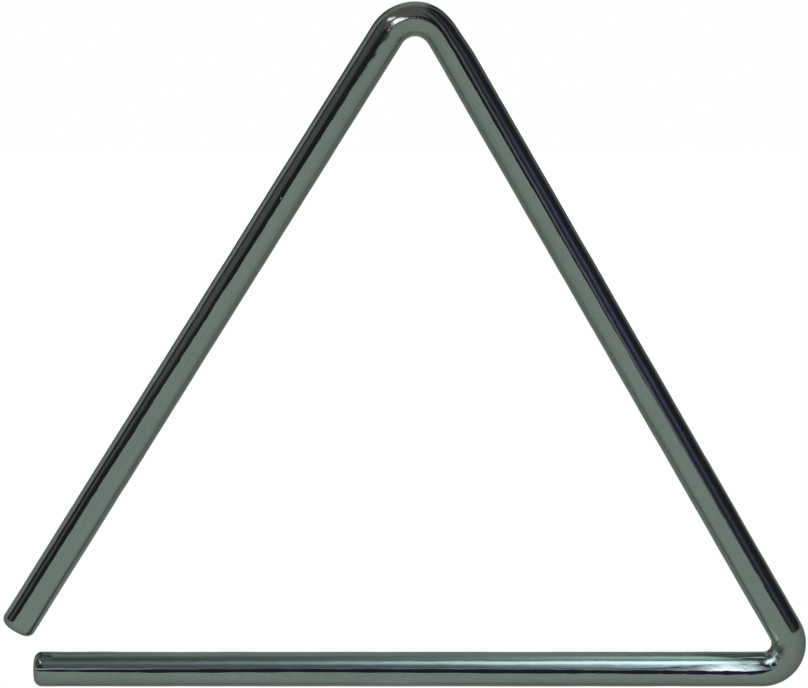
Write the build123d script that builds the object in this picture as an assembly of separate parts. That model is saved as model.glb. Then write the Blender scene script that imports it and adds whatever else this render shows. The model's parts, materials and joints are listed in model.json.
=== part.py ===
from build123d import *
import os
from math import cos, radians, sin

# Driving dimensions, in millimetres and degrees
ROD_DIAMETER = 8.0  # drawn round steel bar
CLOSED_SIDE = 179.5  # right side, between the points where the centre lines cross
TOP_ANGLE = 62.1  # inside angle of the top bend
CORNER_ANGLE = 60.0  # inside angle of the lower right bend
TOP_INSIDE_RADIUS = 3.5  # inner arc of the top bend, which the instrument hangs by
CORNER_INSIDE_RADIUS = 2.0  # inner arc of the lower right bend
OPEN_GAP = 3.5  # upright gap between the open side's end and the base
BASE_SETBACK = 9.8  # how far the base stops short of the crossing at the open corner
END_ROUND = 1.8  # rounded rim of the two free ends
END_ROUND_SHARE = 0.8  # most of the bar's radius that a rim may take

rod_radius = ROD_DIAMETER / 2
end_round = min(END_ROUND, END_ROUND_SHARE * rod_radius)


def triangle_route():
    """Corners and bend radii of the bar's centre line, from the open side's end onwards.

    The triangle stands upright in the XZ plane with its base level. The origin is the
    highest point of the top bend's inner arc, where a hanging line would bear.
    """
    top_radius = TOP_INSIDE_RADIUS + rod_radius
    corner_radius = CORNER_INSIDE_RADIUS + rod_radius

    # Both sides run down from the top crossing, and lean by these angles from the level.
    closed_lean = radians(CORNER_ANGLE)
    open_lean = radians(180 - TOP_ANGLE - CORNER_ANGLE)
    closed_way = Vector(cos(closed_lean), -sin(closed_lean))
    open_way = Vector(-cos(open_lean), -sin(open_lean))
    corner = closed_way * CLOSED_SIDE
    drop = -corner.Y

    # The open side ends with the lowest point of its rounded rim one gap above the base.
    rim_drop = cos(open_lean) * (rod_radius - end_round) + end_round
    open_drop = drop - rod_radius - OPEN_GAP - rim_drop
    open_end = open_way * (open_drop / sin(open_lean) + end_round)

    # The base stops short of the point where it would cross the open side.
    crossing = open_way * (drop / sin(open_lean))
    base_end = crossing + Vector(BASE_SETBACK, 0)

    # The top bend's centre lies on the line that halves the top angle.
    inwards = (closed_way + open_way).normalized()
    bend_centre = inwards * (top_radius / sin(radians(TOP_ANGLE) / 2))
    hang_point = bend_centre + Vector(0, TOP_INSIDE_RADIUS)

    points = [point - hang_point for point in (open_end, Vector(0, 0), corner, base_end)]
    return [(point.X, point.Y) for point in points], [top_radius, corner_radius]


def bent_rod():
    """One length of round bar, bent twice, with both ends faced square and rounded."""
    points, radii = triangle_route()
    with BuildPart() as rod:
        with BuildLine(Plane.XZ) as route:
            FilletPolyline(*points, radius=radii)
        centre_line = route.wire()
        with BuildSketch(Plane(origin=centre_line @ 0, z_dir=centre_line % 0)):
            Circle(rod_radius)
        sweep(path=centre_line)
        end_faces = rod.faces().filter_by(GeomType.PLANE)
        fillet(end_faces.edges(), end_round)
    print(f"bar length along its centre line: {centre_line.length:.1f} mm")
    return rod.part


os.makedirs("parts", exist_ok=True)
export_step(bent_rod(), "parts/bent_rod.step")
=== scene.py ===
import json
from math import asin, cos, exp, pi, radians, sin, tan

import bpy
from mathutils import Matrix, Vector


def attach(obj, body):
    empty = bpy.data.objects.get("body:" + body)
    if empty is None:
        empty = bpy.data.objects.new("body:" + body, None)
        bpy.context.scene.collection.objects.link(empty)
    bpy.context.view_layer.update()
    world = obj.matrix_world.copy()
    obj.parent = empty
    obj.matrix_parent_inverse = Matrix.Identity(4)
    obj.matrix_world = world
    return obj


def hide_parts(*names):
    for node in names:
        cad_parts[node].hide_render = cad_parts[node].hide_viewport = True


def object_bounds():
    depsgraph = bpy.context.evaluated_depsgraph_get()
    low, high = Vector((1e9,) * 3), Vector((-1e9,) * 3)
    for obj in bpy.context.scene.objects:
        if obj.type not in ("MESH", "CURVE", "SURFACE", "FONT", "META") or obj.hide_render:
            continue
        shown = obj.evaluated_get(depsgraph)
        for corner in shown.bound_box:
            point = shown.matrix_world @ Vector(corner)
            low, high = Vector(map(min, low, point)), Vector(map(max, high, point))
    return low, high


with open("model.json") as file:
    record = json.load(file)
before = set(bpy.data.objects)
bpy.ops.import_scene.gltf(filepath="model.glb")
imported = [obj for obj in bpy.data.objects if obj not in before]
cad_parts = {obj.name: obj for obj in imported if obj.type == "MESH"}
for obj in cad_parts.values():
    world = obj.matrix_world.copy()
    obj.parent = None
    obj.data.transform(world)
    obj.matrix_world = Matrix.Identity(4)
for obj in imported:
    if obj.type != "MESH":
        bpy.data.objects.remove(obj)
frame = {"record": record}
cad_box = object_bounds()

# The bent bar
# The whole instrument is one length of drawn round steel bar, bent twice round a former, polished and
# plated bright. Nothing is fixed to it: both ends are faced off square and their rims are rounded.
mounts = {mount["name"]: mount for mount in frame["record"]["mounts"]}
bar_radius = mounts["base_end"]["dims"]["r_mm"] / 1000
top_bend_radius = mounts["hang_bend"]["dims"]["r_mm"] / 1000 + bar_radius
corner_inside_radius = 0.0020
corner_bend_radius = corner_inside_radius + bar_radius
top_angle = radians(62.1)
corner_angle = radians(60.0)
rim_radius = 0.0018


def free_side(mount, bend_radius, bend_angle):
    """A side's free end, where its centre line crosses the closed side's, and its straight length."""
    way = Vector(mount["axis"])
    middle = Vector(mount["pos_m"])
    straight = mount["dims"]["length_mm"] / 1000
    crossing = middle - way * (straight / 2 + bend_radius / tan(bend_angle / 2))
    return middle + way * (straight / 2 + rim_radius), crossing, straight


open_end, top_crossing, open_straight = free_side(mounts["open_end"], top_bend_radius, top_angle)
base_end, corner_crossing, base_straight = free_side(mounts["base_end"], corner_bend_radius, corner_angle)
closed_straight = (corner_crossing - top_crossing).length
closed_straight -= top_bend_radius / tan(top_angle / 2) + corner_bend_radius / tan(corner_angle / 2)

# Where the bends begin and stop, measured along the bar from the open side's end
top_from = rim_radius + open_straight
top_to = top_from + top_bend_radius * (pi - top_angle)
corner_from = top_to + closed_straight
corner_to = corner_from + corner_bend_radius * (pi - corner_angle)
bar_length = corner_to + base_straight + rim_radius

# The bender's shoe left the right shoulder of the top bend a little flatter than the left one.
top_bend_centre = Vector((0, 0, bar_radius - top_bend_radius))
shoulder_turn = radians(54)
shoulder_way = Vector((sin(shoulder_turn), 0, cos(shoulder_turn)))
shoulder = top_bend_centre + shoulder_way * (top_bend_radius + bar_radius)

# The lower right bend is the tighter one, and its inner side was pinched into small wrinkles.
corner_inwards = (base_end - corner_crossing).normalized() + (top_crossing - corner_crossing).normalized()
to_bend_centre = corner_bend_radius / sin(corner_angle / 2)
corner_bend_centre = corner_inwards.normalized() * to_bend_centre + corner_crossing


def stand(name, data):
    """An object with this name and data, put into the scene."""
    made = bpy.data.objects.new(name, data)
    bpy.context.scene.collection.objects.link(made)
    return made


bar_mesh = bpy.data.meshes.new("bar route")
bar_mesh.from_pydata([open_end, top_crossing, corner_crossing, base_end], [(0, 1), (1, 2), (2, 3)], [])
bend_at_corner = bar_mesh.attributes.new("bend_radius", "FLOAT", "POINT")
bend_at_corner.data.foreach_set("value", [0.0, top_bend_radius, corner_bend_radius, 0.0])
bar = stand("plated_bar", bar_mesh)


class Wire:
    """An output in a node tree, with Python's operators standing for Math nodes."""

    def __init__(self, tree, socket=None):
        self.tree = tree
        self.socket = socket

    def node(self, kind, settings=None, inputs=None, output=0):
        """Adds a node, sets it up, fills or links its inputs, and gives one of its outputs."""
        made = self.tree.nodes.new(kind)
        for name, value in (settings or {}).items():
            if name == "stops":
                while len(made.color_ramp.elements) < len(value):
                    made.color_ramp.elements.new(0.5)
                for stop, (place, colour) in zip(made.color_ramp.elements, value):
                    stop.position = place
                    stop.color = (*colour, 1)
            else:
                setattr(made, name, value)
        for name, value in (inputs or {}).items():
            if isinstance(value, Wire):
                self.tree.links.new(value.socket, made.inputs[name])
            else:
                made.inputs[name].default_value = value
        return Wire(self.tree, made.outputs[output] if made.outputs else None)

    def also(self, output):
        """Another output of the same node."""
        return Wire(self.tree, self.socket.node.outputs[output])

    def math(self, operation, first, second=0.0, clamp=False):
        """A Math node on two values."""
        settings = {"operation": operation, "use_clamp": clamp}
        return self.node("ShaderNodeMath", settings, {0: first, 1: second})

    def __add__(self, other):
        return self.math("ADD", self, other)

    def __radd__(self, other):
        return self.math("ADD", other, self)

    def __sub__(self, other):
        return self.math("SUBTRACT", self, other)

    def __rsub__(self, other):
        return self.math("SUBTRACT", other, self)

    def __mul__(self, other):
        return self.math("MULTIPLY", self, other)

    def __rmul__(self, other):
        return self.math("MULTIPLY", other, self)

    def __truediv__(self, other):
        return self.math("DIVIDE", self, other)

    def __rtruediv__(self, other):
        return self.math("DIVIDE", other, self)

    def rise(self, low, high):
        """0 below low, 1 above high, and smooth between."""
        ends = {"Value": self, "From Min": low, "From Max": high}
        return self.node("ShaderNodeMapRange", {"interpolation_type": "SMOOTHSTEP"}, ends)

    def between(self, low, high, soft):
        """1 from low to high, falling to 0 over a soft edge on either side."""
        return self.rise(low - soft, low + soft) * (1 - self.rise(high - soft, high + soft))

    def blend(self, first, second):
        """A colour that goes from the first to the second as this value goes from 0 to 1."""
        return self.node("ShaderNodeMix", {"data_type": "RGBA"}, {0: self, 6: first, 7: second}, output=2)


def blank_material(name):
    """A material with an empty node tree, and the wire to build in it."""
    material = bpy.data.materials.new(name)
    material.use_nodes = True
    material.node_tree.nodes.clear()
    return material, Wire(material.node_tree)


plate, metal = blank_material("bright plate")

bar_tree = bpy.data.node_groups.new("bent bar", "GeometryNodeTree")
bar_tree.is_modifier = True
bar_sizes = {
    "Bar radius": bar_radius,
    "Rim radius": rim_radius,
    "End crown": 0.00012,
    "Wave height": 0.00014,
    "Wave length": 0.0075,
    "Bend smoothing": 0.6,
    "Shoulder flat": 0.00048,
    "Shoulder reach": 0.0088,
    "Wrinkle height": 0.0004,
    "Wrinkle length": 0.0021,
}
bar_counts = {"Stations": 960, "Sides": 96, "Bend steps": 40, "Face rings": 4, "Rim rings": 8}
bar_tree.interface.new_socket("Route", in_out="INPUT", socket_type="NodeSocketGeometry")
for name in bar_sizes:
    bar_tree.interface.new_socket(name, in_out="INPUT", socket_type="NodeSocketFloat")
for name in bar_counts:
    bar_tree.interface.new_socket(name, in_out="INPUT", socket_type="NodeSocketInt")
bar_tree.interface.new_socket("Plating", in_out="INPUT", socket_type="NodeSocketMaterial")
bar_tree.interface.new_socket("Bar", in_out="OUTPUT", socket_type="NodeSocketGeometry")
given = Wire(bar_tree).node("NodeGroupInput", output="Route")


def stored(name, kind="FLOAT"):
    """What the geometry keeps under this name at each point."""
    return given.node("GeometryNodeInputNamedAttribute", {"data_type": kind}, {"Name": name})


def keep(geometry, name, value, kind="FLOAT"):
    """The geometry with a value kept under this name at each point."""
    settings = {"data_type": kind, "domain": "POINT"}
    inputs = {"Geometry": geometry, "Name": name, "Value": value}
    return given.node("GeometryNodeStoreNamedAttribute", settings, inputs)


def vectors(operation, first, second, output=0):
    """A Vector Math node on two vectors."""
    return given.node("ShaderNodeVectorMath", {"operation": operation}, {0: first, 1: second}, output)


def scaled(vector, by):
    """A vector times a number."""
    return given.node("ShaderNodeVectorMath", {"operation": "SCALE"}, {0: vector, "Scale": by})


def push(geometry, offset):
    """The geometry with each point moved by an offset."""
    return given.node("GeometryNodeSetPosition", None, {"Geometry": geometry, "Offset": offset})


# The centre line: the route with its two corners rounded to the bends
radius = given.also("Bar radius")
rim = given.also("Rim radius")
crown = given.also("End crown")
stations = given.also("Stations")
face_rings = given.also("Face rings")
rim_rings = given.also("Rim rings")
centre_line = given.node("GeometryNodeMeshToCurve", None, {"Mesh": given})
centre_line = given.node(
    "GeometryNodeFilletCurve",
    {"mode": "POLY"},
    {"Curve": centre_line, "Radius": stored("bend_radius"), "Count": given.also("Bend steps")},
)
length = given.node("GeometryNodeCurveLength", None, {"Curve": centre_line})

# Stations along it: close together over each crowned end face and rounded rim, then evenly spaced
index = given.node("GeometryNodeInputIndex")
last = stations - 1
from_end = given.math("MINIMUM", index, last - index)
on_face = given.math("DIVIDE", from_end, face_rings, clamp=True)
on_rim = given.math("DIVIDE", from_end - face_rings, rim_rings, clamp=True) * (pi / 2)
on_side = given.math("MAXIMUM", from_end - face_rings - rim_rings, 0)
side_step = (length - 2 * (crown + rim)) / (last - 2 * (face_rings + rim_rings))
depth = crown * on_face * on_face + rim * (1 - given.math("COSINE", on_rim)) + side_step * on_side
ring = (radius - rim) * on_face + rim * given.math("SINE", on_rim)
far_half = given.math("GREATER_THAN", index, last / 2)
along = depth + far_half * (length - 2 * depth)
place = given.node(
    "GeometryNodeSampleCurve",
    {"mode": "LENGTH"},
    {"Curves": centre_line, "Length": along},
    output="Position",
)
station_line = given.node("GeometryNodeMeshLine", None, {"Count": stations})
station_line = keep(station_line, "along", along)
station_line = keep(station_line, "ring", ring)
station_line = given.node("GeometryNodeSetPosition", None, {"Geometry": station_line, "Position": place})
station_line = given.node("GeometryNodeMeshToCurve", None, {"Mesh": station_line})

# The round section, swept along the stations and closed at its two poles
pole_reach = 1e-7
section = given.node(
    "GeometryNodeCurvePrimitiveCircle",
    None,
    {"Resolution": given.also("Sides"), "Radius": 1},
)
section = keep(section, "around", given.node("GeometryNodeInputPosition"), "FLOAT_VECTOR")
ring_here = stored("ring")
along_here = stored("along")
skin = given.node(
    "GeometryNodeCurveToMesh",
    None,
    {"Curve": station_line, "Profile Curve": section, "Scale": ring_here},
)
skin = given.node("GeometryNodeMergeByDistance", None, {"Geometry": skin, "Distance": pole_reach})

# Each point remembers its place on the bar before it was bent, which the plating's marks follow.
on_section = scaled(stored("around", "FLOAT_VECTOR"), ring_here)
on_length = given.node("ShaderNodeCombineXYZ", None, {"Z": along_here})
skin = keep(skin, "unbent", vectors("ADD", on_section, on_length), "FLOAT_VECTOR")
unbent_here = stored("unbent", "FLOAT_VECTOR")

# Hand polishing leaves the straight sides faintly wavy, and the former pressed the bends smoother.
wave_crest = 0.62
bend_edge = 0.004
wave = given.node(
    "ShaderNodeTexNoise",
    {"noise_dimensions": "3D"},
    {"Vector": unbent_here, "Scale": 1 / given.also("Wave length"), "Detail": 1.0, "Roughness": 0.4},
)
in_top_bend = along_here.between(top_from, top_to, bend_edge)
in_corner_bend = along_here.between(corner_from, corner_to, bend_edge)
smoothed = (in_top_bend + in_corner_bend) * given.also("Bend smoothing")
trough = given.math("MINIMUM", wave - wave_crest, 0)
wave_depth = given.also("Wave height") * (1 - smoothed) * trough
skin = push(skin, scaled(given.node("GeometryNodeInputNormal"), wave_depth))

# The flat shoulder
to_shoulder = vectors("DISTANCE", given.node("GeometryNodeInputPosition"), shoulder, "Value")
near_shoulder = 1 - to_shoulder.rise(0, given.also("Shoulder reach"))
skin = push(skin, scaled(-shoulder_way, given.also("Shoulder flat") * near_shoulder))

# The wrinkles sit on the inner side of the lower right bend, away from where it begins and stops, and run
# round the bar rather than along it. The inner share is 0 on the bend's outer side and 1 on its inner.
pinch_inset = 0.001
pinch_edge = 0.002
pinch_from = 0.4
pinch_full = 0.75
wrinkle_crest = 0.65
wrinkle_stretch = (0.5, 0.5, 1)
in_plane = vectors("MULTIPLY", given.node("GeometryNodeInputPosition"), (1, 0, 1))
from_bend_centre = vectors("DISTANCE", in_plane, corner_bend_centre, "Value")
inner_share = (corner_bend_radius - from_bend_centre) / radius * 0.5 + 0.5
in_pinch = along_here.between(corner_from + pinch_inset, corner_to - pinch_inset, pinch_edge)
skin = keep(skin, "pinched", inner_share * in_pinch)
wrinkle = given.node(
    "ShaderNodeTexNoise",
    {"noise_dimensions": "3D"},
    {
        "Vector": vectors("MULTIPLY", unbent_here, wrinkle_stretch),
        "Scale": 1 / given.also("Wrinkle length"),
        "Detail": 1.0,
    },
)
crease = given.math("MINIMUM", wrinkle - wrinkle_crest, 0)
wrinkled = stored("pinched").rise(pinch_from, pinch_full)
wrinkle_depth = given.also("Wrinkle height") * wrinkled * crease
skin = push(skin, scaled(given.node("GeometryNodeInputNormal"), wrinkle_depth))

skin = given.node("GeometryNodeSetShadeSmooth", None, {"Geometry": skin})
skin = given.node("GeometryNodeRealizeInstances", None, {"Geometry": skin})
skin = given.node("GeometryNodeSetMaterial", None, {"Geometry": skin, "Material": given.also("Plating")})
given.node("NodeGroupOutput", None, {"Bar": skin})

shaping = bar.modifiers.new("bent bar", "NODES")
shaping.node_group = bar_tree
identifiers = {item.name: item.identifier for item in bar_tree.interface.items_tree}
for name, value in {**bar_sizes, **bar_counts, "Plating": plate}.items():
    shaping[identifiers[name]] = value
depsgraph = bpy.context.evaluated_depsgraph_get()
bar.data = bpy.data.meshes.new_from_object(
    bar.evaluated_get(depsgraph), preserve_all_data_layers=True, depsgraph=depsgraph
)
bar.modifiers.clear()

# Bright plating on polished steel: a cold grey mirror with hairlines along the bar, a fine orange peel,
# faint handling haze, a scuffed skin on the bends, a darker, duller patch on the inner side of the pinched
# bend, and turning marks on the two end faces.
clean_tone = (0.50, 0.53, 0.515, 1)
hazed_tone = (0.47, 0.505, 0.485, 1)
streaked_tone = (0.46, 0.475, 0.47, 1)
scuffed_tone = (0.44, 0.43, 0.41, 1)
clouded_tone = (0.50, 0.50, 0.45, 1)
mottled_tone = (0.36, 0.39, 0.385, 1)
inner_dark_tone = (0.10, 0.08, 0.06, 1)
pitted_tone = (0.16, 0.16, 0.155, 1)
face_full = 0.0002
face_gone = 0.0011
scuff_edge = 0.003
inner_dark_from = corner_from + 0.0035
inner_dark_to = corner_to - 0.0040
inner_dark_edge = 0.0018
turning_pitch = 0.0004
peel_height = 2.5e-5
hairline_height = 3.0e-6
scuff_height = 1.0e-6
crumple_height = 9.0e-5
turning_height = 4.0e-6
pit_depth = 2.0e-5

spot = metal.node("ShaderNodeAttribute", {"attribute_name": "unbent"}, output="Vector")
pinched = metal.node("ShaderNodeAttribute", {"attribute_name": "pinched"}, output="Fac")
across = metal.node("ShaderNodeSeparateXYZ", None, {"Vector": spot})
along_bar = across.also("Z")
from_axis = metal.math("SQRT", across * across + across.also("Y") * across.also("Y"))
to_end = metal.math("MINIMUM", along_bar, bar_length - along_bar)
end_face = 1 - to_end.rise(face_full, face_gone)
bends = along_bar.between(top_from, top_to, scuff_edge)
bends = bends + along_bar.between(corner_from, corner_to, scuff_edge)
mid_bend = along_bar.between(inner_dark_from, inner_dark_to, inner_dark_edge)


def noise(around_by, along_by, scale, detail):
    """Soft noise on the unbent bar, drawn out round the bar or along it where a factor is under 1."""
    squeezed = metal.node(
        "ShaderNodeVectorMath",
        {"operation": "MULTIPLY"},
        {0: spot, 1: (around_by, around_by, along_by)},
    )
    return metal.node("ShaderNodeTexNoise", None, {"Vector": squeezed, "Scale": scale, "Detail": detail})


hairlines = noise(1, 0.02, 2600, 2)
streaks = noise(1, 0.03, 520, 2)
peel = noise(1, 0.6, 620, 1)
haze = noise(1, 1, 60, 3)
cloud = noise(1, 0.5, 240, 2)
mottle = noise(1, 0.6, 2200, 2)
scuffs = noise(0.2, 1, 1500, 3)
crumple = noise(1, 1, 900, 1)
cell = metal.node("ShaderNodeTexVoronoi", None, {"Vector": spot, "Scale": 230}, output="Distance")
cell_tone = metal.node("ShaderNodeSeparateColor", None, {"Color": cell.also("Color")})
pits = (1 - cell.rise(0.03, 0.06)) * cell_tone.rise(0.88, 0.9)
turning = metal.math("SINE", from_axis * (2 * pi / turning_pitch))
scuffed = bends * (0.35 + 0.65 * haze.rise(0.35, 0.6))
# Darker and duller in cloudy patches on the inner side of the pinched bend, in the middle of the bend.
inner_dark = pinched.rise(0.58, 0.76) * mid_bend * (0.4 + 0.6 * cloud.rise(0.3, 0.55))

plating_tone = haze.rise(0.35, 0.75).blend(clean_tone, hazed_tone)
plating_tone = (streaks.rise(0.45, 0.75) * 0.5).blend(plating_tone, streaked_tone)
plating_tone = (scuffed * 0.35).blend(plating_tone, scuffed_tone)
plating_tone = (cloud.rise(0.4, 0.7) * 0.35).blend(plating_tone, clouded_tone)
plating_tone = (mottle.rise(0.3, 0.7) * 0.3).blend(plating_tone, mottled_tone)
plating_tone = (inner_dark * 0.9).blend(plating_tone, inner_dark_tone)
plating_tone = (pits * 0.5).blend(plating_tone, pitted_tone)
roughness = 0.05 + 0.05 * haze.rise(0.45, 0.75) + 0.05 * hairlines.rise(0.5, 0.8)
roughness = roughness + scuffed * 0.08 * scuffs + end_face * 0.2 + inner_dark * 0.2
relief = peel * peel_height + hairlines * hairline_height + scuffed * scuffs * scuff_height
relief = relief + pinched.rise(0.45, 0.75) * crumple * crumple_height
relief = relief + end_face * turning * turning_height - pits * pit_depth
grain = metal.node("ShaderNodeBump", None, {"Strength": 1.0, "Distance": 1.0, "Height": relief})
finish = metal.node(
    "ShaderNodeBsdfPrincipled",
    None,
    {"Base Color": plating_tone, "Metallic": 1.0, "Roughness": roughness, "Normal": grain},
)
metal.node("ShaderNodeOutputMaterial", None, {"Surface": finish})

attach(bar, "root")
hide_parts("bent_rod")

# The floor
# A broad pale matt sheet well below the hanging bar. The camera sees it as white as the background,
# and it keeps the bar's soft shadow.
floor_drop = 0.1
floor_reach = 20
floor_tone = (0.8, 0.8, 0.8, 1)
floor_lift = 0.28
white = (1, 1, 1, 1)
floor_z = cad_box[0].z - floor_drop
floor_mesh = bpy.data.meshes.new("floor")
floor_mesh.from_pydata(
    [(x * floor_reach, y * floor_reach, floor_z) for x, y in ((-1, -1), (1, -1), (1, 1), (-1, 1))],
    [],
    [(0, 1, 2, 3)],
)
floor = stand("floor", floor_mesh)
floor_paint, sheet = blank_material("pale floor")


def seen(tree):
    """1 for a ray from the camera, from a glossy surface or through a clear one, and 0 for any other."""
    camera_ray = tree.node("ShaderNodeLightPath", output="Is Camera Ray")
    return camera_ray + camera_ray.also("Is Glossy Ray") + camera_ray.also("Is Transmission Ray")


matt = sheet.node("ShaderNodeBsdfDiffuse", None, {"Color": floor_tone})
lift = sheet.node("ShaderNodeEmission", None, {"Color": white, "Strength": seen(sheet) * floor_lift})
both = sheet.node("ShaderNodeAddShader", None, {0: matt, 1: lift})
sheet.node("ShaderNodeOutputMaterial", None, {"Surface": both})
floor_mesh.materials.append(floor_paint)

# The background and the lamp
# White to the camera and to reflections, and an even soft light on everything else, with one broad
# soft sun from the upper left in front, for the shadow on the floor.
fill_level = 0.6
lamp_way = Vector((0.35, 0.45, -0.82))
world = bpy.data.worlds.new("white room")
bpy.context.scene.world = world
world.use_nodes = True
world.node_tree.nodes.clear()
room = Wire(world.node_tree)
room_level = fill_level + (1 - fill_level) * seen(room)
glow = room.node("ShaderNodeBackground", None, {"Color": white, "Strength": room_level})
room.node("ShaderNodeOutputWorld", None, {"Surface": glow})
sun_data = bpy.data.lights.new("broad lamp", "SUN")
sun_data.energy = 1.25
sun_data.angle = radians(12)
sun = stand("broad lamp", sun_data)
sun.rotation_euler = lamp_way.to_track_quat("-Z", "Y").to_euler()
sun.visible_glossy = False

# The camera
# Nearly square on to the triangle and a little above it, with a long lens, so that the bar looks almost
# equally thick all round.
camera_distance = 0.75
camera_lean = radians(4.0)
aim = Vector((-0.00252, 0, -0.06969))
camera_data = bpy.data.cameras.new("camera")
camera_data.sensor_width = 36
camera_data.lens = 146.7
camera = stand("camera", camera_data)
camera.location = aim + camera_distance * Vector((0, -cos(camera_lean), sin(camera_lean)))
camera.rotation_euler = (aim - camera.location).to_track_quat("-Z", "Y").to_euler()
bpy.context.scene.camera = camera
bpy.context.scene.view_settings.view_transform = "Standard"

# The tent
# Bright metal shows what stands round it, so a glowing tent surrounds the bar, painted with the reflections
# the bar shows: grey-green below and behind, dark above, and open at the back, where the white room shows.
# Its lower half is flattened to stay above the floor. Only reflections see it.
tent_radius = 0.6
tent_rings = 32
tent_gores = 64
lower_squash = 0.28
opening_rows = range(7, 17)
opening_half_width = 2
tent_corners = []
tent_faces = []
for row in range(tent_rings + 1):
    climb = pi * row / tent_rings - pi / 2
    reach = tent_radius * cos(climb)
    height = tent_radius * sin(climb)
    if height < 0:
        height *= lower_squash
    for gore in range(tent_gores):
        turn = 2 * pi * gore / tent_gores
        tent_corners.append((reach * sin(turn), -reach * cos(turn), height))
for row in range(tent_rings):
    for gore in range(tent_gores):
        at_back = abs(gore + 0.5 - tent_gores / 2) < opening_half_width
        if at_back and row in opening_rows:
            continue
        near = row * tent_gores + gore
        beside = row * tent_gores + (gore + 1) % tent_gores
        tent_faces.append((near, beside, beside + tent_gores, near + tent_gores))
tent_mesh = bpy.data.meshes.new("tent")
tent_mesh.from_pydata(tent_corners, [], tent_faces)
tent = stand("tent", tent_mesh)
tent.location = (cad_box[0] + cad_box[1]) / 2
tent_paint, reflection_tent = blank_material("tent reflections")
on_tent = reflection_tent.node("ShaderNodeTexCoord", output="Object")
aside = reflection_tent.node("ShaderNodeSeparateXYZ", None, {"Vector": on_tent})
behind = aside.also("Y")
above = aside.also("Z")
heading = reflection_tent.math("ARCTAN2", aside, 0 - behind) * (180 / pi)


def by_heading(tones):
    """A colour for each heading in degrees round the tent, 0 at the camera and 90 at the right."""
    stops = [(angle / 360 + 0.5, colour) for angle, colour in tones]
    return reflection_tent.node("ShaderNodeValToRGB", {"stops": stops}, {"Fac": heading / 360 + 0.5})


grey_green = (0.25, 0.30, 0.27)
light_green = (0.30, 0.37, 0.335)
dull_green = (0.2, 0.24, 0.215)
dim_green = (0.178, 0.212, 0.186)
black = (0.02, 0.021, 0.023)
blue_black = (0.02, 0.02, 0.025)
dark = (0.085, 0.087, 0.087)
mid_dark = (0.108, 0.110, 0.110)
# The painted reflections by heading round the tent: the upper part first, then the lower.
upper = by_heading(
    [
        (-180, grey_green),
        (-166, grey_green),
        (-158, black),
        (-140, dark),
        (-120, grey_green),
        (-102, grey_green),
        (-95, dark),
        (-91, black),
        (-86, black),
        (-78, mid_dark),
        (-46, mid_dark),
        (-36, black),
        (17, black),
        (21, (0.15, 0.165, 0.165)),
        (27, (0.15, 0.165, 0.17)),
        (33, (0.03, 0.036, 0.045)),
        (44, (0.03, 0.036, 0.05)),
        (53, (0.07, 0.076, 0.085)),
        (59, (0.065, 0.07, 0.078)),
        (69, (0.022, 0.024, 0.035)),
        (102, blue_black),
        (116, (0.06, 0.06, 0.06)),
        (136, (0.18, 0.2, 0.19)),
        (150, black),
        (158, black),
        (166, grey_green),
        (180, grey_green),
    ]
)
lower = by_heading(
    [
        (-180, grey_green),
        (-122, (0.2, 0.235, 0.21)),
        (-114, dim_green),
        (-104, dull_green),
        (-80, grey_green),
        (-35, light_green),
        (35, light_green),
        (80, grey_green),
        (104, dull_green),
        (114, dim_green),
        (132, (0.18, 0.213, 0.19)),
        (180, grey_green),
    ]
)

# The height over the tent's middle at which the lower painted reflection meets the upper one. A ramp holds
# no negative level, so it carries the heights lifted by a fixed amount.
lifted = 0.5
edge_heights = (
    (-150, 0.06),
    (-90, 0.05),
    (-60, 0.02),
    (-43, 0.016),
    (-36, 0.049),
    (-24, 0.057),
    (-17, 0.056),
    (-13, 0.062),
    (-9, 0.088),
    (0, 0.075),
    (10, 0.02),
    (26, -0.05),
    (43, -0.03),
    (70, 0.04),
    (120, 0.08),
    (150, 0.06),
)
edge_level = by_heading([(angle, (height + lifted,) * 3) for angle, height in edge_heights])
edge_height = reflection_tent.node("ShaderNodeSeparateColor", None, {"Color": edge_level}) - lifted

# Painted reflections on the upper part of the tent: two black patches low at the left and a blue one at the
# right. Then a grey one high in front of the bar, and another over the top of it.
low_left = heading.between(-64.08, -39.6, 2.88) * (1 - above.rise(0.14, 0.2))
upper = low_left.blend(upper, (*black, 1))
low_line = heading.between(-90, -79.2, 2.16) * (1 - above.rise(0.17, 0.3))
upper = low_line.blend(upper, (*black, 1))
blue_line = heading.between(47.52, 64.8, 5.04) * above.between(0.13, 0.28, 0.04)
upper = blue_line.blend(upper, (0.08, 0.083, 0.18, 1))
painted = (above - edge_height).rise(-0.012, 0.012).blend(lower, upper)
over_front = above.rise(0.23, 0.29) * aside.between(-0.3, 0.1, 0.04) * (1 - behind.rise(0, 0.1))
painted = over_front.blend(painted, (0.15, 0.147, 0.142, 1))
zenith = behind.rise(-0.05, 0.15).blend((0.14, 0.143, 0.136, 1), (*grey_green, 1))
painted = (above.rise(0.42, 0.5) * (1 - aside.rise(0.06, 0.2))).blend(painted, zenith)
# The tent glows with these painted tones, and the bar shows them as its reflections.
tent_emission = reflection_tent.node("ShaderNodeEmission", None, {"Color": painted, "Strength": 1.0})
reflection_tent.node("ShaderNodeOutputMaterial", None, {"Surface": tent_emission})
tent_mesh.materials.append(tent_paint)
reflected = [tent]

# The cards
# Glowing cards stand round the bar, as a photographer sets them for bright metal: two level white ones over
# the base, a dark strip close in front of it, and two small white ones for the top bend. Like the tent,
# they are seen only in reflections.


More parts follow.
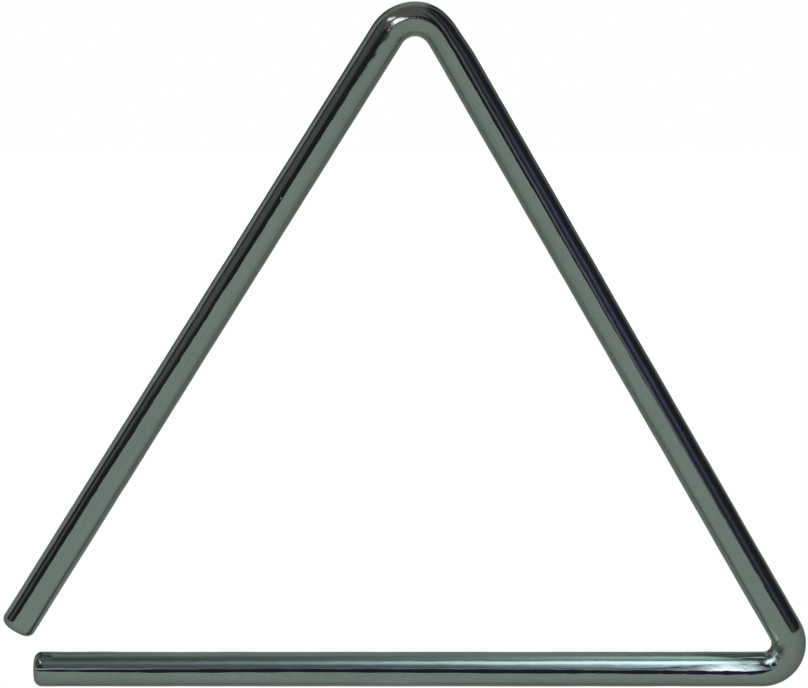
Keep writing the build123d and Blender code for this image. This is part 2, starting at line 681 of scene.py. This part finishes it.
def card(name, rows, seen_from):
    """A glowing sheet through rows of points, each with its colour.

    It shows on its near side alone, and a louvre on it hides it from a slanting view.
    """
    louvre_from = 0.76
    louvre_to = 0.84
    width = len(rows[0])
    corners = [point for row in rows for point, tone in row]
    channels = [channel for row in rows for point, tone in row for channel in (*tone, 1)]
    faces = []
    for row in range(len(rows) - 1):
        for step in range(width - 1):
            near = row * width + step
            faces.append((near, near + 1, near + 1 + width, near + width))
    first, second, third = (corners[number] for number in faces[0][:3])
    if (second - first).cross(third - first).dot(seen_from - first) < 0:
        faces = [face[::-1] for face in faces]
    mesh = bpy.data.meshes.new(name)
    mesh.from_pydata(corners, [], faces)
    mesh.attributes.new("tone", "FLOAT_COLOR", "POINT").data.foreach_set("color", channels)
    paint, surface = blank_material(name)
    painted_tone = surface.node("ShaderNodeAttribute", {"attribute_name": "tone"}, output="Color")
    card_glow = surface.node("ShaderNodeEmission", None, {"Color": painted_tone, "Strength": 1.0})
    far_side = surface.node("ShaderNodeNewGeometry", output="Backfacing")
    slant = surface.node("ShaderNodeLayerWeight", None, {"Blend": 0.5}, output="Facing")
    hidden = surface.math("MAXIMUM", far_side, slant.rise(louvre_from, louvre_to))
    nothing = surface.node("ShaderNodeBsdfTransparent")
    shown = surface.node("ShaderNodeMixShader", None, {0: hidden, 1: card_glow, 2: nothing})
    surface.node("ShaderNodeOutputMaterial", None, {"Surface": shown})
    mesh.materials.append(paint)
    reflected.append(stand(name, mesh))


# The level cards: the base alone sees their undersides. The broad one is in front of the triangle, and the
# narrow one lies lower, between its sides. Both grow brighter to the right and fade at their right end.
# The camera's view slopes down by look_down where it meets the base.
base_middle = Vector((0, 0, base_end.z))
look_down = radians(9.6)


def level_card(name, height, left_end, rows):
    """A card at this height over the base, from rows that run along the base.

    A row has the share of the bar's radius above the base's middle at which the base shows it, its level
    at the left, how much it rises, where it is half risen and over what length, how blue it is, and
    where it ends at the right.
    """
    steps = 60
    end_fade = 0.007
    end_level = 0.3
    red = 0.72
    card_rows = []
    for share, least, gain, halfway, over, blue, right_end in rows:
        lean = look_down + asin(share)
        climb = 2 * lean - look_down
        run = (height - bar_radius * sin(lean)) / sin(climb)
        forward = bar_radius * cos(lean) + run * cos(climb)
        row = []
        for step in range(steps):
            over_base = left_end + (right_end - left_end) * step / (steps - 1)
            level = least + gain / (1 + exp((halfway - over_base) / over))
            level *= end_level + (1 - end_level) * min(1, (right_end - over_base) / end_fade)
            x = over_base * (1 + run / camera_distance)
            row.append((Vector((x, -forward, base_end.z + height)), (red * level, level, blue * level)))
        card_rows.append(row)
    card(name, card_rows, base_middle)


level_card(
    "broad card",
    0.044,
    -0.085,
    (
        (0.48, 0.06, 0.5, 0.018, 0.024, 1.0, 0.0775),
        (0.42, 0.17, 1.9, 0.018, 0.024, 1.0, 0.0775),
        (0.38, 0.20, 2.3, 0.018, 0.024, 1.0, 0.0775),
        (0.31, 0.20, 2.2, 0.018, 0.024, 1.05, 0.0775),
        (0.27, 0.17, 1.7, 0.022, 0.024, 1.1, 0.0775),
        (0.235, 0.14, 1.2, 0.040, 0.018, 1.15, 0.068),
        (0.12, 0.14, 0.7, 0.046, 0.014, 1.1, 0.061),
        (0.03, 0.15, 0.6, 0.046, 0.014, 1.1, 0.058),
    ),
)
level_card(
    "narrow card",
    0.012,
    -0.083,
    (
        (0.50, 0.12, 0.28, 0.0, 0.030, 1.0, 0.0765),
        (0.58, 0.04, 0.9, 0.030, 0.032, 1.0, 0.0755),
        (0.64, 0.16, 0.95, 0.035, 0.016, 0.85, 0.0740),
        (0.70, 0.20, 0.42, 0.030, 0.016, 0.85, 0.0720),
        (0.77, 0.26, 0.06, 0.0, 0.030, 0.9, 0.0690),
    ),
)

# The dark strip: thin, ragged and close in front of the base, where it paints a dark line with a pale edge
# reflected along the base. A streaky pale edge runs along its top at both ends.
strip_gap = 0.0012
strip_steps = 8
ragged_share = 0.06
streak_share = 0.25


def strip_height(share):
    """The height on the strip that shows at this share of the bar's radius below the middle of the base."""
    lean = look_down - asin(share)
    way_out = strip_gap + bar_radius * (1 - cos(lean))
    return base_end.z + bar_radius * sin(lean) + way_out * tan(2 * lean - look_down)


# Along the base: where the dark begins and stops as shares below the base's middle, how far the pale edge
# goes on from there, and its level
strip_stations = (
    (-0.0925, 0.09, 0.09, 0, 0.3),
    (-0.0885, 0.14, 0.05, 0.09, 0.6),
    (-0.060, 0.22, 0.025, 0.09, 0.3),
    (-0.024, 0.19, -0.015, 0, 0.15),
    (0.030, 0.25, 0.035, 0, 0.3),
    (0.055, 0.29, 0.075, 0, 0.5),
    (0.064, 0.31, 0.095, 0.30, 0.6),
    (0.071, 0.33, 0.105, 0.37, 2.6),
    (0.077, 0.335, 0.12, 0.38, 1.6),
    (0.080, 0.22, 0.07, 0.2, 0.5),
    (0.082, 0.07, 0.04, 0, 0.3),
)

# Two rows of points hold the dark, bluer to the right, and four hold the pale edge.
strip_rows = [[] for row in range(6)]
for here, after in zip(strip_stations[:-1], strip_stations[1:]):
    for step in range(strip_steps):
        x, low, high, edge, level = (a + (b - a) * step / strip_steps for a, b in zip(here, after))
        ragged = ragged_share * (low - high) * (sin(900 * x) + 0.8 * sin(2300 * x + 1))
        streaky = 1 + streak_share * sin(3100 * x) * sin(1700 * x + 2)
        # The dark painted into the base's reflection, bluer to the right.
        reflected_dark = (0.02, 0.022, 0.03 + 0.4 * max(0, x))
        marks = [(low + ragged, reflected_dark), (high - ragged, reflected_dark)]
        for up, fade in ((0, 1), (0.35, 0.8 * streaky), (0.7, 0.6 / streaky), (1, 0.6)):
            pale = level * fade
            marks.append((high - ragged - edge * up, (0.9 * pale, pale, 1.05 * pale)))
        for row, (share, tone) in zip(strip_rows, marks):
            row.append((Vector((x, -bar_radius - strip_gap, strip_height(share))), tone))
card("dark strip", strip_rows, base_middle)

# Two small white cards at the upper left light the streaks on the top bend. Each runs between two places
# that are given by heading and climb, in degrees.
streak_distance = 0.5
for name, ends, half_height, level in (
    ("upper left card", ((-54, 45), (-27, 36)), 0.020, 2.2),
    ("front left card", ((-18, 26), (-2, 7)), 0.026, 3.0),
):
    streak_rows = [[], []]
    for turn, climb in ends:
        level_way = Vector((sin(radians(turn)), -cos(radians(turn)), 0))
        way = level_way * cos(radians(climb)) + Vector((0, 0, sin(radians(climb))))
        upright = Vector((0, 0, cos(radians(climb)))) - level_way * sin(radians(climb))
        for row, side in zip(streak_rows, (-1, 1)):
            row.append((way * streak_distance + upright * half_height * side, (level, level, level)))
    card(name, streak_rows, Vector((0, 0, 0)))

for piece in reflected:
    piece.visible_camera = False
    piece.visible_diffuse = False
    piece.visible_shadow = False
